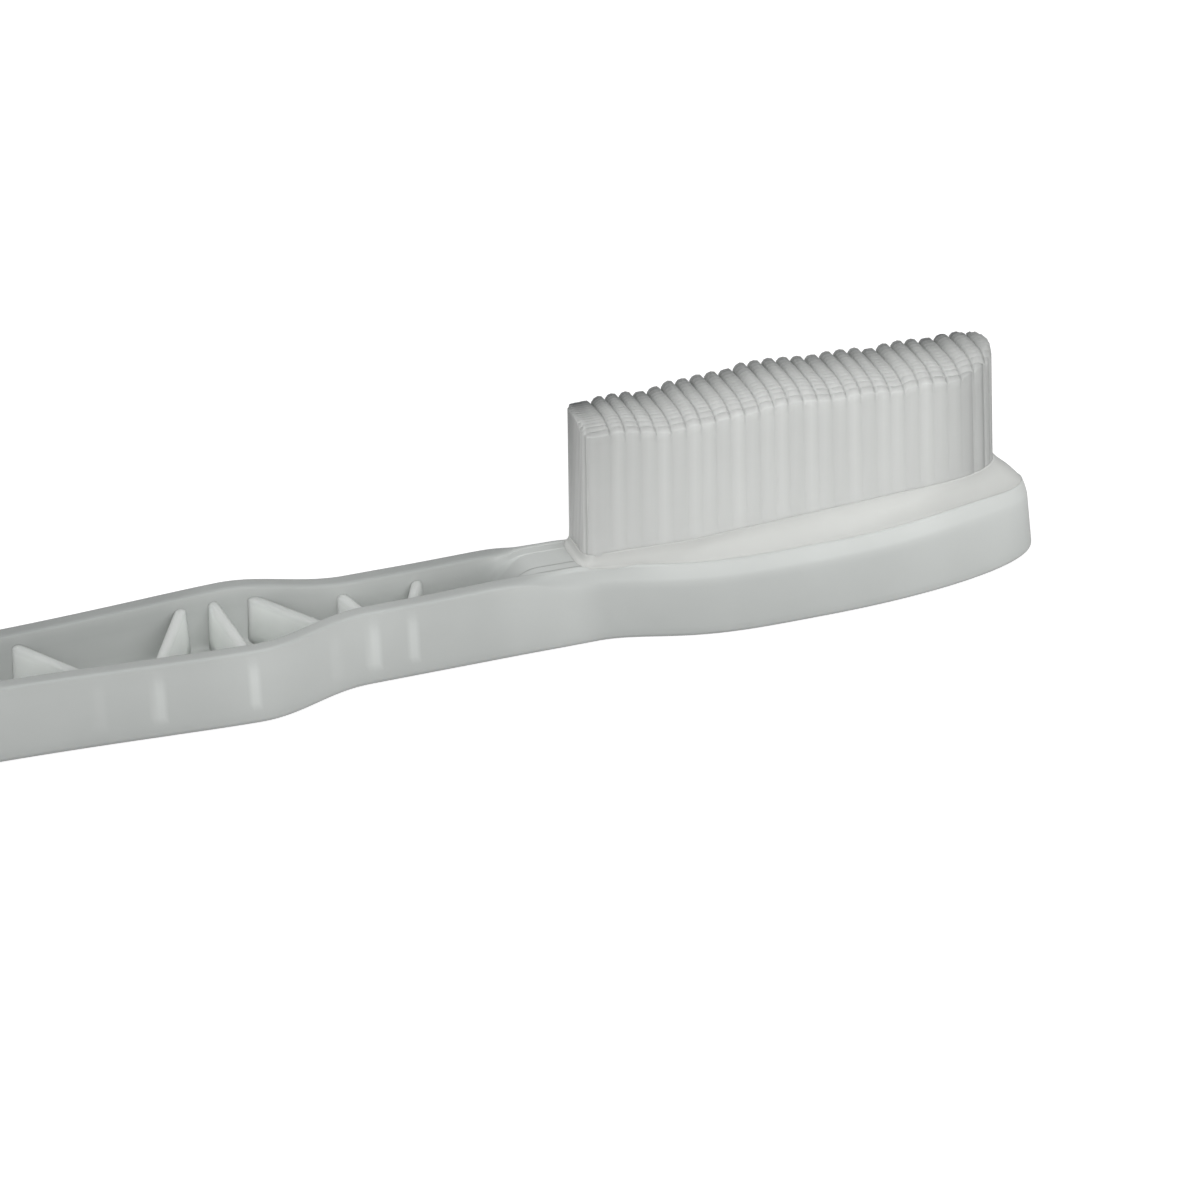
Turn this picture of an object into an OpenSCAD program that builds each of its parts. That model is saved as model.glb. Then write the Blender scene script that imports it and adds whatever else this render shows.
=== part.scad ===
// Manual toothbrush in milky plastic, lying on its flat back with the bristles up.
// A hollow ribbed handle runs into a slim neck and a rounded head, which carries
// a soft pad with a dense block of fine moulded bristles.
// +X points to the tip of the head, +Z up. The origin is on the back, halfway along.

/* [Lengths along the brush] */
// Tip of the head to its widest place
nose_length = 17.5; // [14:0.5:22]
// Widest place of the head to the start of the neck
head_back_length = 16.5; // [14:0.5:24]
// Straight part of the neck
neck_length = 17; // [14:0.5:30]
// Neck to the thumb rest, where the handle swells
shoulder_length = 8.5; // [6:0.5:14]
// Thumb rest to the narrow waist of the handle
waist_length = 25.5; // [18:0.5:40]
// Waist to the widest place under the palm
palm_length = 35; // [24:0.5:50]
// Widest place under the palm to the end of the handle
tail_length = 48; // [30:0.5:60]
// Part of the tail that is rounded off
end_length = 6; // [4:0.5:9]

/* [Widths] */
// Head at its widest, along the edge of its back
head_width = 11; // [10.4:0.1:13]
// Neck where it meets the head
neck_front_width = 6.1; // [5.8:0.1:7]
// Neck where it meets the handle
neck_width = 6.3; // [5.6:0.1:8]
// Handle at the thumb rest
grip_width = 11; // [9:0.1:14]
// Handle at its waist
waist_width = 8.2; // [7:0.1:11]
// Handle under the palm
palm_width = 10.6; // [8:0.1:14]
// Handle where its end starts to round off
end_width = 9.2; // [7:0.1:12]

/* [Heights] */
// Neck, from the back to the rim of the channel
neck_height = 5.8; // [5.6:0.1:7]
// Handle under the palm, from the back to the rim
palm_height = 6.4; // [5.9:0.1:8]
// Head, from the back to the top of its rim
head_rim_height = 5.4; // [5:0.1:5.6]
// Upright part of the head's wall
head_wall_height = 4.2; // [3.4:0.1:4.7]
// Floor of the channel and of the head's tray
floor_thickness = 1.4; // [1:0.1:1.8]

/* [Walls, ribs and heel] */
// Side walls of the handle and neck
wall = 1.3; // [1:0.05:1.6]
// How far the head's wall leans in up to its shoulder
head_wall_inset = 0.5; // [0.2:0.05:0.7]
// How far the wall and the rounded shoulder above it run in together
head_shoulder = 1.1; // [0.9:0.05:1.15]
// From the edge of the head's back in to the pad
head_wall = 1.2; // [1.2:0.05:1.4]
// Wall between the pad and the side of the neck
pad_neck_wall = 0.85; // [0.8:0.05:0.9]
// Solid heel between the channel and the pad
heel_length = 5.4; // [4:0.1:8]
// Depth of the heel's top below the rims beside it
heel_drop = 0.5; // [0.2:0.1:1]
// Thickness of the cross ribs
rib_thickness = 1.1; // [0.8:0.05:1.4]
// Depth of the ribs' tops below the rim
rib_drop = 0.85; // [0.4:0.05:1.4]
// Distance after which the pair of slanted ribs in the handle repeats
rib_pair_pitch = 20; // [16:0.5:28]

/* [Pad and bristles] */
// How far the pad runs on from the head into the neck
pad_overlap = 1.4; // [1:0.1:2]
// Distance of the bristle block from the side of the head
block_side_gap = 2.42; // [2.2:0.02:2.6]
// The same at the tip of the head
block_tip_gap = 2.8; // [2.5:0.05:3.3]
// Length over which the front of the block is rounded off
block_nose_length = 5; // [3:0.5:8]
// How far each side of the block draws in towards the neck
block_taper = 1; // [0.95:0.05:1.3]
// Length over which it does
block_taper_length = 7.5; // [5:0.5:12]
// Bristles start this far in front of the back edge of the pad
block_back_gap = 0.7; // [0.5:0.05:1.5]
// Top of the bristle bed at its back end
bed_back_height = 6.1; // [6:0.05:6.5]
// Top of the bristle bed at its front end
bed_front_height = 7.55; // [7.2:0.05:8]
// Thickness of the bed that the bristles are moulded on
bed_thickness = 0.4; // [0.3:0.05:0.5]
// Pad that shows around the bed
bed_margin = 0.25; // [0.2:0.05:0.4]
// Height of the bristle tips above the back, on average
tip_height = 16.7; // [14:0.1:19]
// Slow wave of the tips along the block
tip_wave = 0.2; // [0:0.05:0.4]
// Length of that wave
tip_wave_length = 14; // [10:0.5:20]
// How much single tips stand higher or lower
tip_play = 0.16; // [0:0.01:0.3]
// Distance from bristle to bristle along a row
bristle_pitch = 1.1; // [1.05:0.01:1.2]
// Clearance between neighbouring bristles of a row
column_gap = 0.38; // [0.3:0.02:0.6]
// Clearance between rows, across the brush
row_gap = 0.03; // [0.02:0.01:0.05]
// Length over which a bristle narrows to its blunt tip
bristle_point = 0.4; // [0.2:0.05:0.8]
// Diameter of the three studs that lock the pad into the head
stud_diameter = 2; // [1.6:0.1:2.4]
// Length of the studs
stud_length = 0.8; // [0.5:0.1:0.9]
// Clearance of the studs in their holes
stud_clearance = 0.05; // [0.03:0.01:0.1]

/* [Hidden] */
// One node for each row of bristles, numbered across the head
row_count = 13;

// Distances from the tip of the head, along the brush
head_length = nose_length + head_back_length;
shoulder_start = head_length + neck_length;
thumb_rest = shoulder_start + shoulder_length;
waist_place = thumb_rest + waist_length;
palm_place = waist_place + palm_length;
total_length = palm_place + tail_length;
end_start = total_length - end_length;
pad_back = head_length + pad_overlap;
channel_start = pad_back + heel_length;
// Where the section of the head starts to change into the neck's
full_head_share = 0.8;
full_head_place = nose_length + head_back_length * full_head_share;
// Where the part is divided into neck and handle, just behind the thumb rest
split_share = 0.08;
split_place = thumb_rest + waist_length * split_share;

// Spacing of the points along the outlines, and how many go round each end
station_step = 1.5;
nose_steps = 12;
end_steps = 8;
// How full the rounded front of the head and of the bristle block are: 2 is an ellipse
head_fullness = 2.1;
block_fullness = 2.5;
// How far the head's layers step in at its tip, as a share of their step at its sides
nose_inset_share = 0.6;
// How late or early the swells of the outline begin: 1 is even
head_skew = 2;
waist_skew = 0.7;
// Narrow bevel on the rim of the neck where it runs into the head
rim_edge = 0.15;
// Overrun of cuts past the faces that they open
overrun = 0.2;
// How deep a bristle's root goes into the bed that it is fused to
root_depth = 0.1;
// Width of a bristle's blunt tip as a share of the bristle
tip_width_share = 0.5;
// Greatest lean of a bristle's tip as a share of the clearance beside it
lean_share = 0.35;
// Corners of a bristle's section and its sections, from root to tip
strand_sides = 4;
strand_rings = 3;
// Golden-angle steps that spread the bristles' small differences evenly
spread_column = 137.5;
spread_row = 61.8;

// Ribs of the neck and thumb rest: where each meets the near and the far wall,
// as shares of the stretch from the channel's front end to the split
neck_rib_shares = [[0.32, 0.25], [0.46, 0.52], [0.60, 0.81], [0.91, 0.945]];
// The pair of slanted ribs that repeats down the handle, as shares of its pitch
grip_rib_shares = [[0.245, 0.055], [0.455, 0.675]];
// Where the locking studs stand, as shares of the pad's length
stud_shares = [0.2, 0.5, 0.8];
stud_facets = 48;

// Bristle block
block_half = head_width / 2 - block_side_gap;
row_pitch = (2 * block_half + row_gap) / row_count;
bristle_width = row_pitch - row_gap;
bristle_depth = bristle_pitch - column_gap;
block_back = pad_back - block_back_gap;
block_front = block_tip_gap;
block_nose_end = block_front + block_nose_length;
block_taper_start = head_length - block_taper_length;

body_colour = [0.78, 0.81, 0.80];
rib_colour = [0.85, 0.87, 0.86];
pad_colour = [0.84, 0.86, 0.84];
bristle_colour = [0.90, 0.91, 0.90];

function row_name(row) = str("bristle_row_", row < 10 ? "0" : "", row);

// Smooth step from 0 to 1, started later or earlier by a skew
function ease(s, skew) = (1 - cos(180 * pow(min(max(s, 0), 1), skew))) / 2;
function swell(from, to, s, skew) = from + (to - from) * ease(s, skew);
function line_between(from, to, s) = from + (to - from) * s;

// Half the width of the brush at a distance t behind the tip, past the rounded nose
function half_width(t) = (
    t < head_length ? swell(head_width, neck_front_width, (t - nose_length) / head_back_length, head_skew)
    : t < shoulder_start ? line_between(neck_front_width, neck_width, (t - head_length) / neck_length)
    : t < thumb_rest ? swell(neck_width, grip_width, (t - shoulder_start) / shoulder_length, 1)
    : t < waist_place ? swell(grip_width, waist_width, (t - thumb_rest) / waist_length, waist_skew)
    : t < palm_place ? swell(waist_width, palm_width, (t - waist_place) / palm_length, 1)
    : swell(palm_width, end_width, (t - palm_place) / (end_start - palm_place), 1)
) / 2;

// Height of the rim of the handle at a distance t behind the tip
function rim_height(t) = swell(neck_height, palm_height, (t - split_place) / (palm_place - split_place), 1);

// Evenly spaced distances from one place to another, both included
function stations(from, to) =
    let (n = ceil((to - from) / station_step))
    [for (i = [0:n]) line_between(from, to, i / n)];

// Outline points [t, half width] of the rounded nose and of the rounded end of the
// handle, each ending or starting where the straight side takes over
function nose_points(tip, back, half, fullness) =
    [for (i = [0:nose_steps]) let (a = 90 * i / nose_steps)
        [line_between(tip, back, 1 - cos(a)), half * pow(sin(a), 2 / fullness)]];
function end_points(inset) =
    [for (i = [0:end_steps]) let (a = 90 * i / end_steps)
        [end_start + (end_length - inset) * sin(a), (half_width(end_start) - inset) * cos(a)]];
function side_points(from, to, inset) = [for (t = stations(from, to)) [t, half_width(t) - inset]];

// A closed plan outline in x and y from points [t, half width] of one side
function on_x(t) = total_length / 2 - t;
function both_sides(half) = concat(
    [for (p = half) [on_x(p[0]), p[1]]],
    [for (i = [len(half) - 1:-1:0]) if (half[i][1] > 0) [on_x(half[i][0]), -half[i][1]]]
);

// How far the section at t has changed from the neck's to the head's, 0 to 1
function head_part(t) = 1 - ease((t - full_head_place) / (channel_start - full_head_place), 1);

// The outline of the handle drawn in by an inset, and that of the head and heel drawn
// in by one inset at the head and another at the neck
function handle_outline(inset) = concat(
    side_points(split_place, end_start, inset),
    [for (p = end_points(inset)) if (p[0] > end_start) p]
);
function head_outline(inset, neck_inset, to) = concat(
    nose_points(inset * nose_inset_share, nose_length, head_width / 2 - inset, head_fullness),
    [for (t = stations(nose_length, to)) if (t > nose_length)
        [t, half_width(t) - line_between(neck_inset, inset, head_part(t))]]
);

// A closed solid skinned over rings that all have the same number of points.
// A ring is a list of [t, half width, z] for one side, starting at the tip
function ring_loop(ring) = concat(
    [for (i = [len(ring) - 1:-1:1]) [on_x(ring[i][0]), ring[i][1], ring[i][2]]],
    [[on_x(ring[0][0]), 0, ring[0][2]]],
    [for (i = [1:len(ring) - 1]) [on_x(ring[i][0]), -ring[i][1], ring[i][2]]]
);
module skinned(rings) {
    loops = [for (ring = rings) ring_loop(ring)];
    m = len(loops[0]);
    n = len(rings[0]) - 1;
    top = (len(rings) - 1) * m;
    polyhedron(
        points = [for (ring_points = loops) each ring_points],
        faces = concat(
            [for (k = [0:len(rings) - 2]) for (i = [0:m - 1]) let (a = k * m + i, b = k * m + (i + 1) % m)
                each [[a, b, a + m], [b, b + m, a + m]]],
            [for (i = [0:n - 2]) let (a = i, b = i + 1, c = m - 2 - i, d = m - 1 - i)
                each [[a, d, b], [b, d, c]]],
            [[n - 1, n + 1, n]],
            [for (i = [0:n - 2]) let (a = top + i, b = top + i + 1, c = top + m - 2 - i, d = top + m - 1 - i)
                each [[a, b, d], [b, c, d]]],
            [[top + n - 1, top + n, top + n + 1]]
        )
    );
}

// Channel of the handle, from the thumb rest to the closed round end
module grip_trough() {
    color(body_colour)
    difference() {
        intersection() {
            linear_extrude(palm_height) polygon(both_sides(handle_outline(0)));
            side_profile();
        }
        translate([0, 0, floor_thickness]) linear_extrude(palm_height)
            polygon(both_sides(concat(
                [[split_place - overrun, half_width(split_place) - wall]],
                handle_outline(wall)
            )));
    }
}

// Side view of the handle, whose rim climbs from the neck to the palm
module side_profile() {
    reach = max(grip_width, palm_width);
    translate([0, reach, 0]) rotate([90, 0, 0]) linear_extrude(2 * reach)
        polygon(concat(
            [for (t = stations(split_place, palm_place)) [on_x(t), rim_height(t)]],
            [
                [on_x(total_length + overrun), palm_height],
                [on_x(total_length + overrun), 0],
                [on_x(split_place), 0]
            ]
        ));
}

// Channel of the neck and shoulder, open to the handle behind it
module neck_trough() {
    color(body_colour)
    difference() {
        linear_extrude(neck_height)
            polygon(both_sides(side_points(channel_start, split_place, 0)));
        translate([0, 0, floor_thickness]) linear_extrude(neck_height)
            polygon(both_sides(concat(
                [[channel_start - overrun, half_width(channel_start) - wall]],
                side_points(channel_start, split_place, wall),
                [[split_place + overrun, half_width(split_place) - wall]]
            )));
    }
}

// One upright rib from a place on the near wall to a place on the far wall
module rib(near_t, far_t) {
    near = [on_x(near_t), -(half_width(near_t) - wall)];
    far = [on_x(far_t), half_width(far_t) - wall];
    length = norm(far - near);
    angle = atan2(far[1] - near[1], far[0] - near[0]);
    top = rim_height((near_t + far_t) / 2) - rib_drop;
    translate([near[0], near[1], floor_thickness]) rotate([0, 0, angle])
        translate([-length / 2, -rib_thickness / 2, 0])
            cube([2 * length, rib_thickness, top - floor_thickness]);
}

// Ribs are moulded on the floor and both walls of the channel
module grip_ribs() {
    room = end_start - split_place;
    color(rib_colour)
    intersection() {
        linear_extrude(palm_height) polygon(both_sides(handle_outline(wall)));
        union() {
            for (start = [split_place:rib_pair_pitch:split_place + room - rib_pair_pitch / 2])
                for (place = grip_rib_shares)
                    rib(start + rib_pair_pitch * place[0], start + rib_pair_pitch * place[1]);
        }
    }
}
module neck_ribs() {
    room = split_place - channel_start;
    color(rib_colour)
    intersection() {
        linear_extrude(neck_height) polygon(both_sides(side_points(channel_start, split_place, wall)));
        union() {
            for (place = neck_rib_shares)
                rib(channel_start + room * place[0], channel_start + room * place[1]);
        }
    }
}

// One ring of the tray's outside, with its height and inset at the neck and at the head
function tray_ring(neck_z, head_z, neck_inset, head_inset) =
    [for (p = head_outline(head_inset, neck_inset, channel_start))
        [p[0], p[1], line_between(neck_z, head_z, head_part(p[0]))]];
function tray_rim(t) = line_between(neck_height, head_rim_height, head_part(t));

// Rounded head with a pocket for the pad, and the solid heel behind it
module head_tray() {
    heel_top = neck_height - heel_drop;
    color(body_colour)
    difference() {
        skinned([
            tray_ring(0, 0, 0, 0),
            tray_ring(neck_height - rim_edge, head_wall_height, 0, head_wall_inset),
            tray_ring(neck_height, head_rim_height, rim_edge, head_shoulder)
        ]);
        translate([0, 0, floor_thickness]) linear_extrude(neck_height)
            polygon(both_sides(head_outline(head_wall, pad_neck_wall, pad_back)));
        translate([0, 0, heel_top]) linear_extrude(neck_height)
            polygon(both_sides(concat(
                [[pad_back - overrun, half_width(pad_back) - wall]],
                side_points(pad_back, channel_start, wall),
                [[channel_start + overrun, half_width(channel_start) - wall]]
            )));
        for (share = stud_shares)
            translate([on_x(pad_back * share), 0, floor_thickness - stud_length])
                cylinder(h = stud_length + overrun, d = stud_diameter + 2 * stud_clearance, $fn = stud_facets);
    }
}

// Height of the bristle bed's top, a straight slope up to the front
function bed_height(t) =
    line_between(bed_front_height, bed_back_height, (t - block_front) / (block_back - block_front));

// Half the width of the bristle block at a distance t behind the tip: rounded in front,
// straight along the middle and drawn in where the head narrows to the neck
function block_side(t, front, half) =
    t <= front ? 0
    : t < block_nose_end
        ? half * pow(1 - pow((block_nose_end - t) / (block_nose_end - front), 2), 1 / block_fullness)
    : swell(half, half - block_taper, (t - block_taper_start) / block_taper_length, 1);

// Soft pad that fills the pocket of the head and rises to the bristle bed
module bristle_pad() {
    foot = head_outline(head_wall, pad_neck_wall, pad_back);
    crown_half = block_half + bed_margin;
    crown_front = block_front - bed_margin;
    steps = len(foot) - 1 - nose_steps;
    crown = concat(
        nose_points(crown_front, block_nose_end, crown_half, block_fullness),
        [for (i = [1:steps]) let (t = line_between(block_nose_end, pad_back - bed_margin, i / steps))
            [t, min(block_side(t, crown_front, crown_half), half_width(t) - pad_neck_wall)]]
    );
    color(pad_colour)
    union() {
        skinned([
            [for (p = foot) [p[0], p[1], floor_thickness]],
            [for (p = foot) [p[0], p[1], tray_rim(p[0])]],
            [for (p = crown) [p[0], p[1], bed_height(p[0]) - bed_thickness]]
        ]);
        for (share = stud_shares)
            translate([on_x(pad_back * share), 0, floor_thickness - stud_length])
                cylinder(h = stud_length + overrun, d = stud_diameter, $fn = stud_facets);
    }
}

// Places along a row where a bristle fits inside the block, in line with those of the other rows
function row_y(row) = (row - (row_count + 1) / 2) * row_pitch;
function row_places(row) =
    let (
        last = floor((block_back - block_front) / bristle_pitch),
        front = block_front + bristle_depth / 2
    )
    [for (i = [0:last]) let (t = block_back - bristle_depth / 2 - i * bristle_pitch)
        if (t > front && block_side(t, front, row_y(row_count)) >= abs(row_y(row))) t];

// Small even differences between bristles, from -1 to 1
function play(row, i, turn) = sin(row * spread_row + i * spread_column + turn);

// The corners of one bristle: its root, its shoulder and its blunt tip
function bristle_corners(row, i, t) =
    let (
        lean_x = play(row, i, 0) * column_gap * lean_share,
        lean_y = play(row, i, 90) * row_gap * lean_share,
        wave = tip_wave * cos(360 * (block_back - t) / tip_wave_length),
        top = tip_height + wave + tip_play * play(row, 2 * i, 45),
        levels = [
            [bed_height(t) - root_depth, 0, 1],
            [top - bristle_point, 1, 1],
            [top, 1, tip_width_share]
        ]
    )
    [for (level = levels) for (corner = [[1, 1], [-1, 1], [-1, -1], [1, -1]])
        [
            on_x(t) + lean_x * level[1] + corner[0] * bristle_depth / 2 * level[2],
            row_y(row) + lean_y * level[1] + corner[1] * bristle_width / 2 * level[2],
            level[0]
        ]];
bristle_faces = let (n = strand_sides, top = n * (strand_rings - 1)) concat(
    [for (ring = [0:n:top - n]) for (i = [0:n - 1]) let (a = ring + i, b = ring + (i + 1) % n)
        each [[a, a + n, b], [b, a + n, b + n]]],
    [for (i = [1:n - 2]) each [[0, i, i + 1], [top, top + i + 1, top + i]]]
);

// One row of bristles with the strip of the bed that they are moulded on
module bristle_row(row) {
    places = row_places(row);
    count = len(places);
    back = places[0] + (bristle_depth + column_gap) / 2;
    front = places[count - 1] - (bristle_depth + column_gap) / 2;
    color(bristle_colour)
    union() {
        translate([0, row_y(row) + row_pitch / 2, 0]) rotate([90, 0, 0]) linear_extrude(row_pitch)
            polygon([
                [on_x(back), bed_height(back) - bed_thickness],
                [on_x(front), bed_height(front) - bed_thickness],
                [on_x(front), bed_height(front)],
                [on_x(back), bed_height(back)]
            ]);
        polyhedron(
            points = [for (i = [0:count - 1]) each bristle_corners(row, i, places[i])],
            faces = [for (i = [0:count - 1]) for (face = bristle_faces)
                [for (corner = face) corner + strand_sides * strand_rings * i]]
        );
    }
}

grip_trough();
grip_ribs();
neck_trough();
neck_ribs();
head_tray();
bristle_pad();
for (row = [1:row_count])
    bristle_row(row);
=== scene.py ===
import bpy
import numpy as np
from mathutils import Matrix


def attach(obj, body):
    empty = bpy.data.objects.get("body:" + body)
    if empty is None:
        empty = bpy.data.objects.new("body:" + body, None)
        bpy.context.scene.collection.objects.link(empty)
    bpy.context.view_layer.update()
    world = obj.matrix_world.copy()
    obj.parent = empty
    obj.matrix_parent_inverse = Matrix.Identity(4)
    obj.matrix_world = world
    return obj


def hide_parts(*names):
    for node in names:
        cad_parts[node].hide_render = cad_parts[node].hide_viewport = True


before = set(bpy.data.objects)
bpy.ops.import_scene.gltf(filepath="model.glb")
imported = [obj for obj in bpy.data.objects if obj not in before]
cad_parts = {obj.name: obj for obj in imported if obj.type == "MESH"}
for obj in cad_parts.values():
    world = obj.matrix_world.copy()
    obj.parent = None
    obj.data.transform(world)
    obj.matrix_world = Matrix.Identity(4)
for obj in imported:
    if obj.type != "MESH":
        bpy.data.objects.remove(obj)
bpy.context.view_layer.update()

# Camera: a long lens 440 mm away that looks down at the brush from the side of the near wall,
# turned a little towards the end of the handle and tipped a little to one side.
MM = 0.001
CAMERA_DISTANCE = 440 * MM
CAMERA_HEIGHT, CAMERA_TURN, CAMERA_TIP = np.radians([28.5, 17.5, 2.05])
LOOK_AT = np.array([50.33, -2.17, 2.9]) * MM
PICTURE_WIDTH = 85.23 * MM
SENSOR = 36.0
NEAREST_SEEN = 10 * MM
level = np.array([np.cos(CAMERA_TURN), -np.sin(CAMERA_TURN), 0])
ahead = np.array([np.sin(CAMERA_TURN), np.cos(CAMERA_TURN), 0])
skyward = np.array([0, 0, 1])
forward = ahead * np.cos(CAMERA_HEIGHT) - skyward * np.sin(CAMERA_HEIGHT)
upright = ahead * np.sin(CAMERA_HEIGHT) + skyward * np.cos(CAMERA_HEIGHT)
to_right = level * np.cos(CAMERA_TIP) - upright * np.sin(CAMERA_TIP)
to_top = level * np.sin(CAMERA_TIP) + upright * np.cos(CAMERA_TIP)
place = np.eye(4)
place[:3, 0], place[:3, 1], place[:3, 2] = to_right, to_top, -forward
place[:3, 3] = LOOK_AT - forward * CAMERA_DISTANCE
camera = bpy.data.objects.new("camera", bpy.data.cameras.new("camera"))
camera.data.sensor_width = SENSOR
camera.data.lens = SENSOR * CAMERA_DISTANCE / PICTURE_WIDTH
camera.data.clip_start = NEAREST_SEEN
camera.matrix_world = place.T.tolist()
bpy.context.collection.objects.link(camera)
bpy.context.scene.camera = camera
bpy.context.scene.view_settings.view_transform = "Standard"


# Table top and soft light: a pale matt floor that keeps a faint shadow, an even white surround,
# and two large lamps, a weak one beyond the end of the handle and a strong one by the camera.
def shader_node(tree, kind, inputs=None, **settings):
    """A new node with its settings. Inputs go by name or number, as values or sockets to link."""
    made = tree.nodes.new("ShaderNode" + kind)
    for name, value in settings.items():
        setattr(made, name, value)
    for key, value in (inputs or {}).items():
        if isinstance(value, bpy.types.NodeSocket):
            tree.links.new(value, made.inputs[key])
        else:
            made.inputs[key].default_value = value
    return made


def material_tree(name):
    """A new material and its emptied node tree."""
    made = bpy.data.materials.new(name)
    made.use_nodes = True
    made.node_tree.nodes.clear()
    return made, made.node_tree


def seen_by_eye(tree):
    """One for what is seen straight, mirrored or through something clear, and zero for its light
    on other things."""
    path = shader_node(tree, "LightPath").outputs
    seen = shader_node(tree, "Math", {0: path["Is Camera Ray"], 1: path["Is Glossy Ray"]},
                       operation="MAXIMUM")
    shown = shader_node(tree, "Math", {0: seen.outputs[0], 1: path["Is Transmission Ray"]},
                        operation="MAXIMUM")
    return shown.outputs[0]


WHITE = (1, 1, 1, 1)
FLOOR_HALF = 1.5
FLOOR_DROP = 0.05 * MM
FLOOR_GREY, FLOOR_GLOW = 0.45, 0.78
floor_corners = np.array([[-1, -1], [1, -1], [1, 1], [-1, 1]]) * FLOOR_HALF
floor_mesh = bpy.data.meshes.new("floor")
floor_mesh.from_pydata([(x, y, -FLOOR_DROP) for x, y in floor_corners], [], [(0, 1, 2, 3)])
floor = bpy.data.objects.new("floor", floor_mesh)
bpy.context.collection.objects.link(floor)
floor_material, tree = material_tree("pale_floor")
glow = shader_node(tree, "Math", {0: seen_by_eye(tree), 1: FLOOR_GLOW}, operation="MULTIPLY")
matt = shader_node(tree, "BsdfDiffuse", {"Color": (FLOOR_GREY, FLOOR_GREY, FLOOR_GREY, 1)})
light = shader_node(tree, "Emission", {"Color": WHITE, "Strength": glow.outputs[0]})
both = shader_node(tree, "AddShader", {0: matt.outputs[0], 1: light.outputs[0]})
shader_node(tree, "OutputMaterial", {"Surface": both.outputs[0]})
floor_mesh.materials.append(floor_material)

SKY_LIGHT, SKY_SEEN = 0.42, 1.0
world = bpy.data.worlds.new("soft_surround")
world.use_nodes = True
tree = world.node_tree
tree.nodes.clear()
sky = shader_node(tree, "Background", {"Color": WHITE, "Strength": SKY_LIGHT})
bright = shader_node(tree, "Background", {"Color": WHITE, "Strength": SKY_SEEN})
mixed = shader_node(tree, "MixShader", {0: seen_by_eye(tree), 1: sky.outputs[0],
                                        2: bright.outputs[0]})
shader_node(tree, "OutputWorld", {"Surface": mixed.outputs[0]})
bpy.context.scene.world = world


def soft_lamp(name, spot, aim, size, power):
    """A square white area lamp at a spot, turned to aim at a point, in metres and watts."""
    data = bpy.data.lights.new(name, "AREA")
    data.shape, data.size, data.energy = "SQUARE", size, power
    lamp = bpy.data.objects.new(name, data)
    back = np.array(spot) - np.array(aim)
    back = back / np.linalg.norm(back)
    side = np.cross([0, 1, 0], back)
    side = side / np.linalg.norm(side)
    turned = np.eye(4)
    turned[:3] = np.stack([side, np.cross(back, side), back, spot], axis=-1)
    lamp.matrix_world = turned.T.tolist()
    bpy.context.collection.objects.link(lamp)


soft_lamp("lamp_back", spot=(-0.45, -0.1, 0.4), aim=(0.03, 0, 0), size=0.5, power=1.0)
soft_lamp("lamp_near", spot=(0.1, -0.55, 0.4), aim=(0.04, 0, 0), size=0.6, power=3.6)


# Brush body: handle, neck and head in one moulding of milky polypropylene. The handle and neck
# are a channel open on the bristle side, a short solid heel closes it behind the head, and every
# edge is rounded as the mould leaves it. It takes the place of the three rigid CAD solids.

# Places, in mm behind the tip
NOSE_END, HEAD_END, SHOULDER_START, THUMB_REST = 17.5, 34.0, 51.0, 59.5
SPLIT, WAIST, PALM, END_START, LENGTH = 61.54, 85.0, 120.0, 162.0, 168.0
FULL_HEAD, POCKET_END, PAD_BACK, CHANNEL_START, HEAD_START = 30.7, 34.4, 35.15, 40.8, 41.3
# Widths and heights
HEAD_WIDTH, NECK_FRONT, NECK_WIDTH, GRIP_WIDTH = 11.0, 6.1, 6.3, 11.0
WAIST_WIDTH, PALM_WIDTH, END_WIDTH = 8.2, 10.6, 9.2
NECK_HEIGHT, PALM_HEIGHT = 5.8, 6.4
CREST_PLACES = [3, 9, 16, 28, 32.5, 36, 40, 48]
CREST_HEIGHTS = [5.42, 5.7, 5.4, 5.4, 5.6, 5.83, 5.9, 5.8]
# How the plan bends: powers of the side's and the shoulder's changes, fullness of the nose, and
# how far its tip draws back for each mm that its sides draw in
HEAD_SKEW, GRIP_SKEW, SHOULDER_POWER, NOSE_FULLNESS, NOSE_DRAWN = 2.0, 0.7, 1.7, 2.1, 0.6


def blend(start, end, share):
    """From start to end in a straight line."""
    return start + (end - start) * share


def ease(share, skew=1.0):
    """Smooth step: half of one minus the cosine of 180 degrees times the share, which is held
    from 0 to 1 and raised to the power skew."""
    return (1 - np.cos(np.pi * np.clip(share, 0, 1) ** skew)) / 2


def swell(start, end, share, skew=1.0):
    """From start to end by the smooth step."""
    return blend(start, end, ease(share, skew))


def through(t, places, values):
    """Smooth steps through values at places, level before the first and after the last."""
    spot = np.interp(t, places, np.arange(len(places)))
    first = np.clip(spot.astype(int), 0, len(places) - 2)
    values = np.array(values)
    return swell(values[first], values[first + 1], spot - first)


def half_width(t):
    """Half the width at t mm behind the tip: smooth steps from each named width to the next,
    and a straight line along the neck."""
    def share(start, end):
        return (t - start) / (end - start)

    stretches = [
        (t < HEAD_END, swell(HEAD_WIDTH, NECK_FRONT, share(NOSE_END, HEAD_END), HEAD_SKEW)),
        (t < SHOULDER_START, blend(NECK_FRONT, NECK_WIDTH, share(HEAD_END, SHOULDER_START))),
        (t < THUMB_REST, swell(NECK_WIDTH, GRIP_WIDTH, share(SHOULDER_START, THUMB_REST))),
        (t < WAIST, swell(GRIP_WIDTH, WAIST_WIDTH, share(THUMB_REST, WAIST), GRIP_SKEW)),
        (t < PALM, swell(WAIST_WIDTH, PALM_WIDTH, share(WAIST, PALM))),
    ]
    tail = swell(PALM_WIDTH, END_WIDTH, share(PALM, END_START))
    where, width = zip(*stretches)
    return np.select(where, width, tail) / 2


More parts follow.
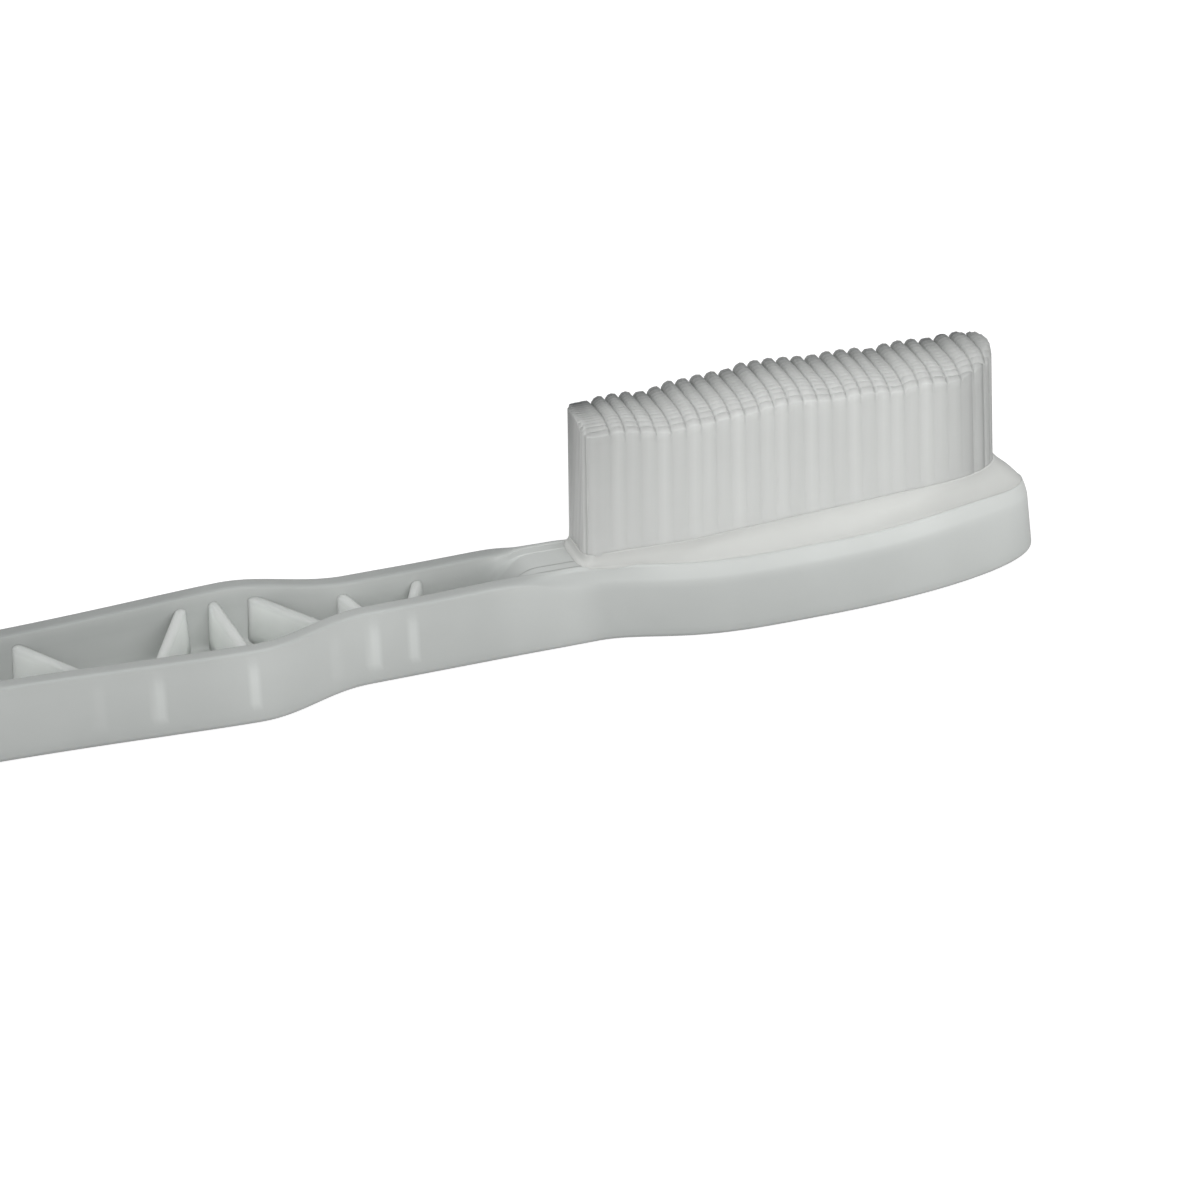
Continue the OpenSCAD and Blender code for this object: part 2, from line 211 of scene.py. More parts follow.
def head_share(t):
    """How far the outer side has changed from the channel's to the head's: one minus a power of
    the share of the way back to the channel, eased in over the first half of that way."""
    back = np.clip((t - FULL_HEAD) / (HEAD_START - FULL_HEAD), 0, 1)
    return (1 - back ** SHOULDER_POWER) * ease((1 - back) * 2)


def rim_height(t):
    """Height of the channel's rim: a smooth climb from the neck to the palm."""
    return swell(NECK_HEIGHT, PALM_HEIGHT, (t - SPLIT) / (PALM - SPLIT))


def crest_height(t):
    """Height of the rim of channel and heel, and of the crest of the head's shoulder."""
    return through(t, CREST_PLACES, CREST_HEIGHTS) + rim_height(t) - NECK_HEIGHT


def body_plan(along, inset):
    """Distance behind the tip and half width of the outline drawn in by an inset: a fuller
    quarter ellipse round the nose, the side's own curve, and a quarter ellipse round the tail."""
    nose_turn = np.clip(along / NOSE_END, 0, 1) * np.pi / 2
    tail_turn = np.clip((along - END_START) / (LENGTH - END_START), 0, 1) * np.pi / 2
    nose_t = blend(NOSE_DRAWN * inset, NOSE_END, 1 - np.cos(nose_turn))
    nose_w = (HEAD_WIDTH / 2 - inset) * np.abs(np.sin(nose_turn)) ** (2 / NOSE_FULLNESS)
    tail_t = blend(END_START, LENGTH - inset, np.sin(tail_turn))
    tail_w = (END_WIDTH / 2 - inset) * np.cos(tail_turn)
    where = [along < NOSE_END, along > END_START]
    t = np.select(where, [nose_t, tail_t], along)
    return t, np.select(where, [nose_w, tail_w], half_width(along) - inset)


def section_points(*parts):
    """Joins parts of a section, each a pair of insets and heights, into two arrays with one row
    for each station."""
    rows = max(np.shape(part[0])[0] for part in parts if np.ndim(part[0]) == 2)
    wide = [[np.broadcast_to(half, (rows, np.shape(half)[-1])) for half in part] for part in parts]
    return [np.concatenate([part[i] for part in wide], axis=1) for i in (0, 1)]


def quarter(centre_in, centre_up, radius, start, end, count=5):
    """Points of a rounding in a section: the centre plus the radius times the cosine and sine of
    an even turn."""
    turn = np.radians(np.linspace(start, end, count))
    return centre_in + radius * np.cos(turn), centre_up + radius * np.sin(turn)


def between(start_in, start_up, end_in, end_up, count):
    """Points strictly between two points of a section, evenly spaced."""
    share = np.linspace(0, 1, count + 2)[1:-1]
    return blend(start_in, end_in, share), blend(start_up, end_up, share)


def curve(start, bend, end, count=6):
    """Points of a section on a quadratic curve from start to end, pulled towards the bend."""
    share = np.linspace(0, 1, count)
    return [(1 - share) ** 2 * a + 2 * share * (1 - share) * b + share ** 2 * c
            for a, b, c in zip(start, bend, end)]


# Where the cross sections stand, closer together round the nose and the tail
NOSE_STATIONS, TAIL_STATIONS, STATION_STEP = 40, 20, 0.35
stations = np.concatenate([
    np.linspace(0, NOSE_END, NOSE_STATIONS)[:-1],
    np.arange(NOSE_END, END_START, STATION_STEP),
    np.linspace(END_START, LENGTH, TAIL_STATIONS),
])[:, None]
as_head = head_share(stations)

# Outer side of a section, from the flat back up to the crest. The first of two values is the
# channel's and the second the head's, whose wall leans in and ends in a rounded shoulder.
BACK_FLAT_EDGE = 1.1
FOOT_EDGE_ROUND = (0.45, 0.35)
WALL_LEAN = (0.08, 0.5)
SHOULDER_BEND = (0.08, 0.73)
BELOW_CREST, HEAD_WALL, HEAD_BEND, NOSE_LIFT = 0.25, 4.2, 4.88, 0.3
CREST_INSET_PLACES, CREST_INSETS = [28, 33, 38, 50], [1.1, 0.75, 0.72, 0.33]
nose_lift = through(stations, [3, 9, 16], [0, NOSE_LIFT, 0])
edge_round = blend(*FOOT_EDGE_ROUND, as_head)
crest_in = through(stations, CREST_INSET_PLACES, CREST_INSETS)
crest_up = crest_height(stations)
wall_top = (blend(*WALL_LEAN, as_head),
            blend(crest_up - BELOW_CREST, HEAD_WALL + nose_lift, as_head))
shoulder_bend = (blend(*SHOULDER_BEND, as_head),
                 blend(crest_up, HEAD_BEND + nose_lift, as_head))

# Inside of the crest: a pocket for the pad in the head, then the heel, then a ramp down to the
# channel's floor. A rounding takes no more than its share of the step that it lies in.
FLOOR_THICK, WALL, POCKET_FLOOR, POCKET_RAMP = 1.4, 1.3, 4.9, 2.0
HEEL_DROP, HEEL_RAMP, HEEL_LEAN, ROUND_SHARE = 0.02, 6.0, 0.6, 0.45
LIP_INSET, LIP_ROUND = (1.05, 1.15), (0.25, 0.1)
CORNER_ROUND, POCKET_ROUND, WALL_DRAFT, FLOOR_EDGE = 0.42, 0.1, 0.1, 0.2
in_pocket = ease((POCKET_END - stations) / POCKET_RAMP)
heel_share = ease((CHANNEL_START + HEEL_RAMP / 2 - stations) / HEEL_RAMP)
floor_up = blend(blend(FLOOR_THICK, crest_up - HEEL_DROP, heel_share), POCKET_FLOOR, in_pocket)
most_round = (crest_up - floor_up) * ROUND_SHARE
lip = blend(*LIP_INSET, in_pocket)
lip_round = np.minimum(blend(*LIP_ROUND, in_pocket), most_round)
foot_in = WALL + WALL_DRAFT + HEEL_LEAN * heel_share * (1 - in_pocket)
foot_round = blend(np.minimum(CORNER_ROUND, most_round), POCKET_ROUND, in_pocket)

# Rings of the closed form, counted from the back: where the wall ends, where the crest ends,
# where the lip ends and where the inner wall starts
WALL_TOP_RING, CREST_RING, LIP_RING, INNER_RING = 13, 18, 22, 26
section_in, section_up = section_points(
    (np.full_like(stations, BACK_FLAT_EDGE), np.zeros_like(stations)),
    quarter(edge_round, edge_round, edge_round, 270, 180),
    between(0, edge_round, *wall_top, 7),
    curve(wall_top, shoulder_bend, (crest_in, crest_up)),
    ((crest_in + lip) / 2, crest_up),
    quarter(lip, crest_up - lip_round, lip_round, 90, 0),
    between(lip + lip_round, crest_up - lip_round, foot_in, floor_up + foot_round, 5),
    quarter(foot_in + foot_round, floor_up + foot_round, foot_round, 180, 270),
    (foot_in + foot_round + FLOOR_EDGE, floor_up),
)


def closed_loop(side_t, side_w, up):
    """Points of a whole outline, [ring, point, xyz] in metres, from one side's distances, half
    widths and heights: the near side from the tip to the tail and its mirror back again."""
    near = np.stack([LENGTH / 2 - side_t, -side_w, up], axis=-1)
    far = near[:, -2:0:-1] * [1, -1, 1]
    return np.concatenate([near, far], axis=1) * MM


def ring_faces(rings, points):
    """Faces of a closed form of rings one over the other: squares between the rings, a ladder
    across the lowest and across the highest ring from each point to its mirror point, with a
    triangle at both ends of a ladder. They face outward."""
    low, start = np.meshgrid(np.arange(rings - 1) * points, np.arange(points), indexing="ij")
    end = (start + 1) % points
    walls = np.stack([low + start, low + start + points, low + end + points, low + end], axis=-1)
    half = points // 2
    step = np.arange(1, half - 1)
    rungs = np.stack([step, step + 1, points - step - 1, points - step], axis=-1)
    top = (rings - 1) * points
    ends = [[0, 1, points - 1], [half, half + 1, half - 1]]
    lower = rungs.tolist() + ends
    upper = (rungs[:, ::-1] + top).tolist() + [[top + i for i in face[::-1]] for face in ends]
    return walls.reshape(-1, 4).tolist() + lower + upper


def add_piece(name, points, faces, material, pale):
    """A smooth-shaded mesh object with its place in its mesh, in metres, and how pale it is at
    its points."""
    mesh = bpy.data.meshes.new(name)
    mesh.from_pydata(np.reshape(points, (-1, 3)).tolist(), [], faces)
    mesh.polygons.foreach_set("use_smooth", np.ones(len(mesh.polygons), dtype=bool))
    layer = mesh.attributes.new("pale", "FLOAT", "POINT")
    layer.data.foreach_set("value", np.asarray(pale, dtype=np.float32).ravel())
    mesh.materials.append(material)
    piece = bpy.data.objects.new(name, mesh)
    bpy.context.collection.objects.link(piece)
    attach(piece, "root")
    return piece


plan_t, plan_w = body_plan(np.broadcast_to(stations, section_in.shape), section_in)
body_points = closed_loop(plan_t.T, plan_w.T, section_up.T)
ring_count, loop_count = body_points.shape[:2]
ring = np.arange(ring_count)[:, None]
loop_t = LENGTH / 2 - body_points[..., 0] / MM
loop_up = body_points[..., 2] / MM
on_near = body_points[..., 1] < 0
outer = ring <= WALL_TOP_RING
in_head = head_share(loop_t)

# Near and far end of each cross rib, four in the neck as shares of its channel and five pairs in
# the handle as shares of their pitch. Where each rib meets a wall, light carried through the milky
# rib is painted into the wall as a pale bar of painted light, narrower to its top, and fainter
# where the rib runs back from the near wall.
NECK_RIBS = np.array([[0.32, 0.25], [0.46, 0.52], [0.60, 0.81], [0.91, 0.945]])
GRIP_RIBS = np.array([[0.245, 0.055], [0.455, 0.675]])
RIB_PITCH, RIB_PAIRS = 20.0, 5
pair_starts = SPLIT + RIB_PITCH * np.arange(RIB_PAIRS)
rib_ends = np.concatenate([
    blend(CHANNEL_START, SPLIT, NECK_RIBS),
    (pair_starts[:, None, None] + RIB_PITCH * GRIP_RIBS).reshape(-1, 2),
])
BAR_FOOT_HALF, BAR_TOP_HALF, BAR_TOP, BAR_SHIFT = 0.42, 0.28, 5.3, 0.35
BAR_SOFT_OUT, BAR_SOFT, RUN_BACK, RUN_FADE = 0.2, 0.3, 6.0, 4.8
BAR_START, BAR_START_FADE, BAR_END, BAR_END_FADE = 1.0, 0.6, 5.5, 1.8
half_bar = blend(BAR_FOOT_HALF, BAR_TOP_HALF, np.clip(loop_up / BAR_TOP, 0, 1))
rib_glow = np.zeros_like(loop_t)
for near_end, far_end in rib_ends:
    off = np.abs(loop_t - np.where(on_near, near_end + BAR_SHIFT, far_end)) - half_bar
    strength = ease((RUN_BACK - (far_end - near_end)) / RUN_FADE)
    rib_glow += strength * ease((BAR_SOFT_OUT - off) / BAR_SOFT)
rib_glow *= ease((loop_up - BAR_START) / BAR_START_FADE) * (ring < WALL_TOP_RING)
rib_glow *= ease((BAR_END - loop_up) / BAR_END_FADE)


def hump(first, last, soft=1.5):
    """One on the rings from first to last, falling off outside them as a bell curve."""
    outside = np.maximum(first - ring, 0) + np.maximum(ring - last, 0)
    return np.exp(-(outside / soft) ** 2)


# How pale the plastic looks, as changes to one base value: painted light and shade along the
# brush; painted shade on the channel's rim tops, on its inner walls and on the foot of the outer
# wall; painted light towards the channel's floor, and painted highlights on the head's shoulder
# and crest; paler on and beside the heel; and a pale bar of painted light at each rib.
BASE_PALE = 0.545
PALE_PLACES = [2, 8, 16, 25, 38, 45, 53, 58, 65, 76]
PALE_ALONG = [1.14, 1.03, 0.96, 0.88, 0.88, 0.92, 0.99, 0.98, 0.86, 0.84]
NEAR_RIM_SHADE, FAR_RIM_SHADE, INSIDE_SHADE, GRIP_SHADE, FOOT_SHADE = 0.18, 0.35, 0.2, 0.14, 0.11
CHANNEL_FLOOR_LIGHT, SHOULDER_HIGHLIGHT, HEEL_PALER, BY_HEEL_PALER, RIB_GLOW_PALER = 0.5, 0.115, 0.12, 0.11, 0.2
FOOT_REACH = 4.5
on_heel = through(loop_t, [33, 35, 37.5, 41], [0, 1, 1, 0]) * (ring > CREST_RING)
by_heel = through(loop_t, [33, 36, 39, 43], [0, 1, 1, 0]) * outer
in_channel = through(loop_t, [38, 44], [0, 1])
in_grip = through(loop_t, [50, 57], [0, 1])
off_nose = through(loop_t, [3, 11], [0.35, 1])
rims = (1 - in_head) * hump(WALL_TOP_RING + 2, LIP_RING)
rims = rims * np.where(on_near, NEAR_RIM_SHADE, FAR_RIM_SHADE)
inside = (1 - in_head) * hump(INNER_RING, ring_count) * (1 - on_heel)
depth = (crest_height(loop_t) - loop_up) / (crest_height(loop_t) - FLOOR_THICK)
to_floor = np.clip(depth, 0, 1) * in_channel
on_shoulder = hump(WALL_TOP_RING + 1, LIP_RING, 0.9) + hump(CREST_RING + 1, LIP_RING, 0.7)
pale = 1 - rims + inside * (CHANNEL_FLOOR_LIGHT * to_floor - INSIDE_SHADE - GRIP_SHADE * in_grip)
pale = BASE_PALE * (pale + SHOULDER_HIGHLIGHT * in_head * on_shoulder * off_nose)
pale = pale * through(loop_t, PALE_PLACES, PALE_ALONG) * (1 + HEEL_PALER * on_heel)
pale = pale * (1 - FOOT_SHADE * outer * (1 - np.clip(loop_up / FOOT_REACH, 0, 1)))
pale = pale * (1 + BY_HEEL_PALER * by_heel + RIB_GLOW_PALER * rib_glow)

# How much painted shade deepens the milky look where it turns away from the eye, and its grain
EDGE_SHADE, EDGE_POWER = 0.35, 4.0
GRAIN_SCALE, GRAIN_STRENGTH, GRAIN_DEPTH = 2600.0, 0.08, 0.05 * MM


def milky_haze():
    """Node group of the milky look. Colour: from deep to pale by the paleness, clouded by soft
    noise, and with painted shade where the surface turns away from the eye, deeper at its edges as
    a
    hazy clear plastic looks there. Height: fine noise for the faint grain of a moulded surface."""
    group = bpy.data.node_groups.new("milky_haze", "ShaderNodeTree")
    for label, kind in (("Place", "Vector"), ("Paleness", "Float"), ("Deep", "Color"),
                        ("Pale", "Color"), ("Cloud Scale", "Float"), ("Cloud Amount", "Float"),
                        ("Grain Scale", "Float"), ("Edge", "Float")):
        group.interface.new_socket(name=label, in_out="INPUT", socket_type="NodeSocket" + kind)
    for label, kind in (("Colour", "Color"), ("Height", "Float")):
        group.interface.new_socket(name=label, in_out="OUTPUT", socket_type="NodeSocket" + kind)
    given = group.nodes.new("NodeGroupInput").outputs
    cloud = shader_node(group, "TexNoise", {
        "Vector": given["Place"], "Scale": given["Cloud Scale"], "Detail": 3.0,
    })
    swing = shader_node(group, "MapRange", {
        "Value": cloud.outputs["Fac"], "From Min": 0.3, "From Max": 0.7,
        "To Min": -1.0, "To Max": 1.0,
    })
    clouded = shader_node(group, "Math", {
        0: swing.outputs[0], 1: given["Cloud Amount"], 2: given["Paleness"],
    }, operation="MULTIPLY_ADD")
    edge = shader_node(group, "Math", {0: given["Edge"], 1: EDGE_POWER}, operation="POWER")
    shaded_edge = shader_node(group, "Math", {0: edge.outputs[0], 1: -EDGE_SHADE, 2: 1.0},
                          operation="MULTIPLY_ADD")
    shown = shader_node(group, "Math", {0: clouded.outputs[0], 1: shaded_edge.outputs[0]},
                        operation="MULTIPLY")
    mixed = shader_node(group, "Mix", {0: shown.outputs[0], 6: given["Deep"], 7: given["Pale"]},
                        data_type="RGBA")
    grain = shader_node(group, "TexNoise", {
        "Vector": given["Place"], "Scale": given["Grain Scale"], "Detail": 2.0,
    })
    result = group.nodes.new("NodeGroupOutput")
    group.links.new(mixed.outputs[2], result.inputs["Colour"])
    group.links.new(grain.outputs["Fac"], result.inputs["Height"])
    return group


def milky_material(name, deep, tint, cloud_size, cloud_amount, rough, gloss, inner_weight,
                   inner_reach):
    """A milky plastic or rubber, as pale at each point as the piece's own "pale" value says.
    Cloud size and inner reach, how far light spreads inside, are in mm."""
    made, tree = material_tree(name)
    coordinates = shader_node(tree, "TexCoord")
    paleness = shader_node(tree, "Attribute", attribute_name="pale")
    group = bpy.data.node_groups.get("milky_haze") or milky_haze()
    facing = shader_node(tree, "LayerWeight", {"Blend": 0.5})
    haze = shader_node(tree, "Group", node_tree=group)
    for label, value in (("Deep", deep), ("Pale", tint), ("Cloud Scale", 1 / (cloud_size * MM)),
                         ("Cloud Amount", cloud_amount), ("Grain Scale", GRAIN_SCALE)):
        haze.inputs[label].default_value = value
    tree.links.new(coordinates.outputs["Object"], haze.inputs["Place"])
    tree.links.new(paleness.outputs["Fac"], haze.inputs["Paleness"])
    tree.links.new(facing.outputs["Facing"], haze.inputs["Edge"])
    bump = shader_node(tree, "Bump", {
        "Height": haze.outputs["Height"], "Strength": GRAIN_STRENGTH, "Distance": GRAIN_DEPTH,
    })
    surface = shader_node(tree, "BsdfPrincipled", {
        "Base Color": haze.outputs["Colour"], "Roughness": rough, "Specular IOR Level": gloss,
        "Normal": bump.outputs["Normal"], "Subsurface Weight": inner_weight,
        "Subsurface Radius": (1.0, 1.0, 1.0), "Subsurface Scale": inner_reach * MM,
    })
    shader_node(tree, "OutputMaterial", {"Surface": surface.outputs[0]})
    return made


PLASTIC_DEEP, PLASTIC_TINT = (0.0, 0.006, 0.008, 1), (0.972, 1.0, 0.974, 1)
body_material = milky_material("milky_plastic", PLASTIC_DEEP, PLASTIC_TINT, cloud_size=7.0,
                               cloud_amount=0.012, rough=0.5, gloss=0.3, inner_weight=0.25,
                               inner_reach=1.0)
body = add_piece("brush_body", body_points, ring_faces(ring_count, loop_count), body_material,
                 pale)
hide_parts("grip_trough", "neck_trough", "head_tray")


# Cross ribs: fourteen thin plates of the same plastic, moulded in one with the floor and both
# walls of the channel. Each is thicker at its foot than at its rounded top, as the mould needs.
RIB_FOOT, RIB_TOP, RIB_DROP, CROWN_START = 1.15, 0.7, 0.85, 0.93
RIB_SUNK, RIB_ROOT = 0.35, 0.3
# Shares of a rib's length and height at which it is drawn, closer together at its sunk ends and
# its rounded top
share_along = np.concatenate([[0], np.linspace(0.01, 0.99, 10), [1]])
share_up = np.array([0, 0.3, 0.6, 0.85, 0.93, 0.96, 0.985, 0.997])


def rib_section(height_share):
    """Half thickness of a rib at a share of its height: a straight taper that ends in a quarter
    round."""
    crown = np.clip((height_share - CROWN_START) / (1 - CROWN_START), 0, 1)
    return blend(RIB_FOOT, RIB_TOP, height_share) / 2 * np.sqrt(1 - crown ** 2)


# The ends as they are drawn, shifted a little by how far the rib is slanted
SQUARE_RUN, NEAR_SHIFT, NEAR_SLANT, FAR_SHIFT, FAR_SLANT = 4.0, 0.2, 0.1, -0.05, -0.2
slant = np.clip((rib_ends[:, 1] - rib_ends[:, 0]) / SQUARE_RUN, -1, 1)
near_t = rib_ends[:, 0] + NEAR_SHIFT + NEAR_SLANT * slant
far_t = rib_ends[:, 1] + FAR_SHIFT + FAR_SLANT * slant
near_end = np.stack([LENGTH / 2 - near_t, -(half_width(near_t) - WALL)], axis=-1)
far_end = np.stack([LENGTH / 2 - far_t, half_width(far_t) - WALL], axis=-1)
run = far_end - near_end
run_length = np.linalg.norm(run, axis=-1, keepdims=True)
run = run / run_length
across = np.stack([-run[:, 1], run[:, 0]], axis=-1)
reach = blend(-RIB_SUNK, run_length + RIB_SUNK, share_along)
rib_root = FLOOR_THICK - RIB_ROOT
rib_top = rim_height((near_t + far_t) / 2) - RIB_DROP
up = blend(rib_root, rib_top[:, None], share_up)
half_thick = rib_section(share_up)
ring_up = np.concatenate([up, up[:, ::-1]], axis=1)
ring_out = np.concatenate([half_thick, -half_thick[::-1]])
plan = near_end[:, None, None] + run[:, None, None] * reach[:, :, None, None]
plan = plan + across[:, None, None] * ring_out[:, None]
height = np.broadcast_to(ring_up[:, None, :, None], plan.shape[:3] + (1,))
rib_points = np.concatenate([plan, height], axis=-1)
rib_count, along_count, around_count = rib_points.shape[:3]
first = np.arange(rib_count)[:, None, None] * along_count * around_count
low = np.arange(along_count - 1)[None, :, None] * around_count
here = np.arange(around_count)[None, None]
there = (here + 1) % around_count
rib_sides = np.stack([
    first + low + here, first + low + there,
    first + low + there + around_count, first + low + here + around_count,
], axis=-1).reshape(-1, 4).tolist()
last = (along_count - 1) * around_count
rib_caps = [
    [int(start + offset + corner) for corner in order]
    for start in first.ravel()
    for offset, order in ((0, range(around_count - 1, -1, -1)), (last, range(around_count)))
]
# A rib is paler than the body, painted light for the shade in the channel, with painted shade
# along its top and painted shade a little all over on the ones turned to the lamp by the camera
RIB_PALE, RIB_TOP_SHADE, TURNED_SHADE = 0.885, 0.3, 0.15
rib_tone = RIB_PALE - RIB_TOP_SHADE * ease((share_up - 0.88) / 0.11)
turned_to_light = ease((slant - 0.3) / 0.7)[:, None, None]
rib_pale = np.concatenate([rib_tone, rib_tone[::-1]]) * (1 - TURNED_SHADE * turned_to_light)
rib_pale = np.broadcast_to(rib_pale, rib_points.shape[:3])
rib_material = milky_material("rib_plastic", PLASTIC_DEEP, PLASTIC_TINT, cloud_size=3.0,
                              cloud_amount=0.02, rough=0.5, gloss=0.3, inner_weight=0.8,
                              inner_reach=1.2)
ribs = add_piece("channel_ribs", rib_points * MM, rib_sides + rib_caps, rib_material, rib_pale)
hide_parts("grip_ribs", "neck_ribs")


# Bristle pad: soft moulded pad that fills the head and slopes up from the crest of its shoulder
# to the foot of the bristles, which it meets in a small fillet. It is moulded in place over
# three locking studs.

# The bristle block in the CAD model and the brush in this look, in mm behind the tip: front, back
# and the end of the round front. Then the taper's start, the half width and corner of the back,
# and the power of the round front.
BLOCK_FRONT, BLOCK_BACK, BLOCK_HALF, BLOCK_NOSE_END = 2.8, 34.7, 3.08, 7.8
BRUSH_FRONT, BRUSH_BACK, TAPER_START, BACK_HALF, BACK_CORNER = 3.1, 34.65, 25.5, 2.2, 0.8
BRUSH_ROUND = 0.4
# The bed under it: heights at both ends, how far it stands out round the bristles, its fillet,
# how full its front is, and the least wall of the head outside it
BED_FRONT, BED_BACK, BED_MARGIN, BED_BACK_MARGIN, BED_FILLET = 7.55, 6.15, 0.06, 0.08, 0.4
BED_FULLNESS, BED_WALL = 2.5, 0.85
# The pad's foot: how far it lies in from the body's side, the pad's back corners, and how many
# points an outline has
FOOT_INSET, FOOT_BACK_INSET, PAD_CORNER = 1.15, 0.72, 0.8
NOSE_POINTS, SIDE_POINTS, CORNER_POINTS = 25, 61, 13


def bed_height(t):
    """Height of the bed that the bristles stand on: a straight slope up to the front."""
    return blend(BED_FRONT, BED_BACK, (t - BLOCK_FRONT) / (BLOCK_BACK - BLOCK_FRONT))


def taper(t):
    """Share of its full width that the brush keeps: a smooth step in to the back."""
    return swell(1, BACK_HALF / BLOCK_HALF, (t - TAPER_START) / (BRUSH_BACK - TAPER_START))


def brush_side(t):
    """Half width of the brush: a full quarter ellipse in front, then its taper, and a quarter
    round at the back."""
    front = np.clip((BLOCK_NOSE_END - t) / (BLOCK_NOSE_END - BRUSH_FRONT), 0, 1)
    corner = np.clip((t - BRUSH_BACK) / BACK_CORNER + 1, 0, 1)
    return (BLOCK_HALF * taper(t) * (1 - front ** 2) ** BRUSH_ROUND
            - BACK_CORNER * (1 - np.sqrt(1 - corner ** 2)))


def pad_outline(tip, nose_end, nose_half, fullness, back, side):
    """One side of a ring round the pad: a quarter ellipse of the given fullness, the side up to
    the rounded corner, and the corner's quarter ellipse to the middle of the back end."""
    nose_turn = np.radians(np.linspace(0, 90, NOSE_POINTS))
    back_turn = np.radians(np.linspace(0, 90, CORNER_POINTS))[1:]
    nose_t = blend(tip, nose_end, 1 - np.cos(nose_turn))
    nose_w = nose_half * np.sin(nose_turn) ** (2 / fullness)
    side_t = np.linspace(nose_end, back - PAD_CORNER, SIDE_POINTS)[1:]
    side_w = side(side_t)
    back_t = back - PAD_CORNER + PAD_CORNER * np.sin(back_turn)
    back_w = side_w[-1] * np.cos(back_turn) ** 0.5
    return np.concatenate([nose_t, side_t, back_t]), np.concatenate([nose_w, side_w, back_w])


def foot_side(t):
    """Half width of the pad where it leaves the crest."""
    return half_width(t) - through(t, [28, 33], [FOOT_INSET, FOOT_BACK_INSET])


def crown_side(t):
    """Half width of the bed: the brush's and a margin, held inside the body."""
    return np.minimum(BLOCK_HALF * taper(t) + BED_MARGIN, half_width(t) - BED_WALL)


foot_t, foot_w = pad_outline(NOSE_DRAWN * FOOT_INSET, NOSE_END, HEAD_WIDTH / 2 - FOOT_INSET,
                             NOSE_FULLNESS, PAD_BACK, foot_side)
crown_t, crown_w = pad_outline(BRUSH_FRONT - BED_MARGIN, BLOCK_NOSE_END, BLOCK_HALF + BED_MARGIN,
                               BED_FULLNESS, BRUSH_BACK + BED_BACK_MARGIN, crown_side)
# The foot lies just under the crest, and under the heel's top at the back. The slope swells over
# the straight line to the bed, and its last part rises by a square into the fillet.
UNDER_CREST, UNDER_HEEL, SLOPE_SWELL, FILLET_START = 0.03, 0.04, 0.42, 0.6
POCKET_DEPTH = 0.84
at_heel = ease((foot_t - PAD_BACK + PAD_CORNER) / 0.5)
foot_up = crest_height(foot_t) - blend(UNDER_CREST, HEEL_DROP + UNDER_HEEL, at_heel)
crown_up = bed_height(crown_t)
in_slope = np.concatenate([[0, 0], np.linspace(0, 0.6, 7), np.linspace(0.65, 1, 8)])[:, None]
sunk = np.zeros_like(in_slope)
sunk[:2, 0] = POCKET_DEPTH, POCKET_DEPTH / 2
pad_t = blend(foot_t, crown_t, in_slope)
pad_w = blend(foot_w, crown_w, in_slope)
pad_up = blend(foot_up, crown_up, in_slope + SLOPE_SWELL * in_slope * (1 - in_slope)) - sunk
in_fillet = np.clip((in_slope - FILLET_START) / (1 - FILLET_START), 0, 1)
pad_up = pad_up + BED_FILLET * in_fillet ** 2
# Two more rings close the bed under the bristles. The points in the middle of nose and back stay
# in the middle.
bed_inset = np.array([0.12, 0.3])[:, None]
bed_t = crown_t + bed_inset * (ease((8 - crown_t) / 5) - ease((crown_t - 33.8) / 0.8))
bed_w = np.maximum(crown_w - bed_inset * (crown_w > 0), 0) * (crown_w > 1e-6)
bed_up = np.broadcast_to(crown_up + BED_FILLET, bed_t.shape)
pad_points = closed_loop(np.concatenate([pad_t, bed_t]), np.concatenate([pad_w, bed_w]),
                         np.concatenate([pad_up, bed_up]))
pad_rings, pad_loop = pad_points.shape[:2]

# How pale the pad looks: less so behind the nose and a little more up the slope, with painted
# shade where it meets the bristles and painted highlights along its foot and at the heel
PAD_PALE, PAD_NOSE, SLOPE_PALER, BED_SHADE, PAD_FOOT_HIGHLIGHT, PAD_BACK_HIGHLIGHT = (
    0.6, 0.05, 0.03, 0.02, 0.08, 0.1)
loop_back = LENGTH / 2 - pad_points[..., 0] / MM
crown_near = np.concatenate([in_slope, np.ones_like(bed_inset)])
pad_pale = PAD_PALE - PAD_NOSE * ease((loop_back - 12) / 14)
pad_pale = pad_pale + SLOPE_PALER * crown_near - BED_SHADE * crown_near ** 6
pad_pale = pad_pale + PAD_FOOT_HIGHLIGHT * (crown_near < 0.05)
pad_pale = pad_pale + PAD_BACK_HIGHLIGHT * ease((loop_back - PAD_BACK + 0.6) / 0.4)
pad_material = milky_material("soft_pad", deep=(0.0, 0.0, 0.0, 1), tint=(0.985, 1.0, 0.968, 1),
                              cloud_size=5.0, cloud_amount=0.015, rough=0.6, gloss=0.25,
                              inner_weight=0.4, inner_reach=1.5)
pad = add_piece("bristle_pad_form", pad_points, ring_faces(pad_rings, pad_loop), pad_material,
                pad_pale)
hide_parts("bristle_pad")


# Bristles: thirteen rows of fine fingers in line across the head, moulded in one with a strip of
# the bed, of the same soft clear material as the pad. The fingers of a row are joined by a thin
# web, as moulded ones are at their roots, and part near their domed tips.
ROW_COUNT, PITCH, COLUMN_GAP, ROW_GAP, ROW_CLEARANCE = 13, 1.1, 0.38, 0.03, 0.006
ROW_PITCH = (2 * BLOCK_HALF + ROW_GAP) / ROW_COUNT
ROW_HALF = ROW_PITCH / 2 - ROW_CLEARANCE
